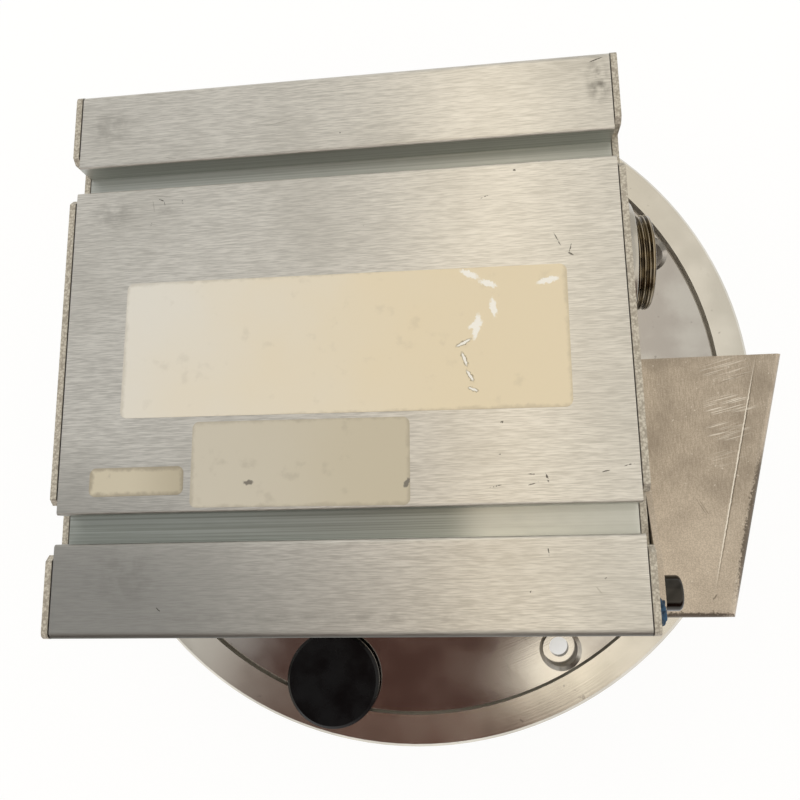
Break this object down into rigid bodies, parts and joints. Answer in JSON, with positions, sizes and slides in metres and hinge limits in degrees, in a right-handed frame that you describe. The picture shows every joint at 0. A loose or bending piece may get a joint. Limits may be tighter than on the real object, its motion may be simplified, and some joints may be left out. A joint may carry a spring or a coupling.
{
  "type": "turbomolecular pump",
  "caption": "Cartridge turbomolecular pump: bladed rotor in a windowed stator casing under a round mounting flange, with an extruded cover housing, connector and bracket on top.",
  "frame": {"origin": "centre of the mounting flange's sealing face, on the rotor axis", "axes": "+Z along the rotor axis from the high-vacuum inlet to the cover housing, +X towards the connector and bracket"},
  "size_m": [0.2404, 0.2404, 0.2242],
  "materials": {
    "turned_aluminium": "fine turned, bright",
    "extruded_aluminium": "brushed along the extrusion, satin",
    "sheet_aluminium": "sheared sheet, satin",
    "machined_aluminium": "machined",
    "stator_aluminium": "machined",
    "rotor_aluminium": "milled",
    "seal_rubber": "matte",
    "plug_plastic": "moulded, satin",
    "steel_screws": "bright zinc",
    "cap_screw_steel": "dark nickel",
    "guard_steel": "etched sheet",
    "shaft_steel": "ground",
    "race_steel": "lapped",
    "cage_plastic": "moulded",
    "ball_ceramic": "lapped ceramic",
    "magnet": "banded",
    "lamination_steel": "stacked sheet",
    "winding_copper": "enamelled wire",
    "port_steel": "turned stainless",
    "connector_nickel": "dark nickel plate",
    "connector_plastic": "moulded",
    "contact_brass": "gold flash",
    "bracket_steel": "folded stainless sheet, lengthwise grain"
  },
  "bodies": {
    "casing": {"base_plate": "sheet_aluminium", "base_plate_screws": "steel_screws", "bearing_carrier": "machined_aluminium", "bearing_cover": "machined_aluminium", "bearing_cover_screws": "steel_screws", "bracket": "bracket_steel", "bracket_screw": "cap_screw_steel", "casing_seals": "seal_rubber", "connector_insert": "connector_plastic", "connector_pins": "contact_brass", "connector_shell": "connector_nickel", "cover_profile": "extruded_aluminium", "drag_casing": "machined_aluminium", "drag_stator": "stator_aluminium", "end_plate_left": "sheet_aluminium", "end_plate_right": "sheet_aluminium", "end_plate_screws": "steel_screws", "flange_seal": "seal_rubber", "foreline_port": "port_steel", "hole_plug": "plug_plastic", "inlet_casing": "machined_aluminium", "inlet_ring": "machined_aluminium", "lower_bearing_seat": "machined_aluminium", "lower_outer_race": "race_steel", "motor_housing": "machined_aluminium", "motor_housing_screws": "steel_screws", "motor_laminations": "lamination_steel", "motor_windings": "winding_copper", "mounting_flange": "turned_aluminium", "preload_spring": "shaft_steel", "spacer_ring_1": "stator_aluminium", "spacer_ring_2": "stator_aluminium", "spacer_ring_3": "stator_aluminium", "spacer_ring_4": "stator_aluminium", "spacer_ring_5": "stator_aluminium", "splinter_guard": "guard_steel", "stage_casing": "machined_aluminium", "stator_disc_1": "stator_aluminium", "stator_disc_2": "stator_aluminium", "stator_disc_3": "stator_aluminium", "tie_rods": "steel_screws", "upper_outer_race": "race_steel"},
    "rotor": {"shaft": "shaft_steel", "rotor_bolt": "steel_screws", "motor_magnet": "magnet", "shaft_nut": "shaft_steel", "rotor_sleeve_1": "rotor_aluminium", "rotor_sleeve_2": "rotor_aluminium", "drag_rotor": "rotor_aluminium", "lower_inner_race": "race_steel", "upper_inner_race": "race_steel", "rotor_disc_1": "rotor_aluminium", "rotor_disc_2": "rotor_aluminium", "rotor_disc_3": "rotor_aluminium", "rotor_disc_4": "rotor_aluminium", "rotor_disc_5": "rotor_aluminium"},
    "lower_cage": {"lower_bearing_cage": "cage_plastic", "lower_bearing_balls": "ball_ceramic"},
    "upper_cage": {"upper_bearing_cage": "cage_plastic", "upper_bearing_balls": "ball_ceramic"}
  },
  "joints": [
    {"name": "rotor_spin", "type": "hinge", "parent": "casing", "child": "rotor", "pos_m": [0, 0, 0], "axis": [0, 0, 1], "continuous": true},
    {"name": "lower_cage_spin", "type": "hinge", "parent": "casing", "child": "lower_cage", "pos_m": [0, 0, 0], "axis": [0, 0, 1], "continuous": true},
    {"name": "upper_cage_spin", "type": "hinge", "parent": "casing", "child": "upper_cage", "pos_m": [0, 0, 0], "axis": [0, 0, 1], "continuous": true}
  ],
  "couplings": [
    {"joint": "lower_cage_spin", "follows": "rotor_spin", "ratio": 0.38},
    {"joint": "upper_cage_spin", "follows": "rotor_spin", "ratio": 0.38}
  ]
}
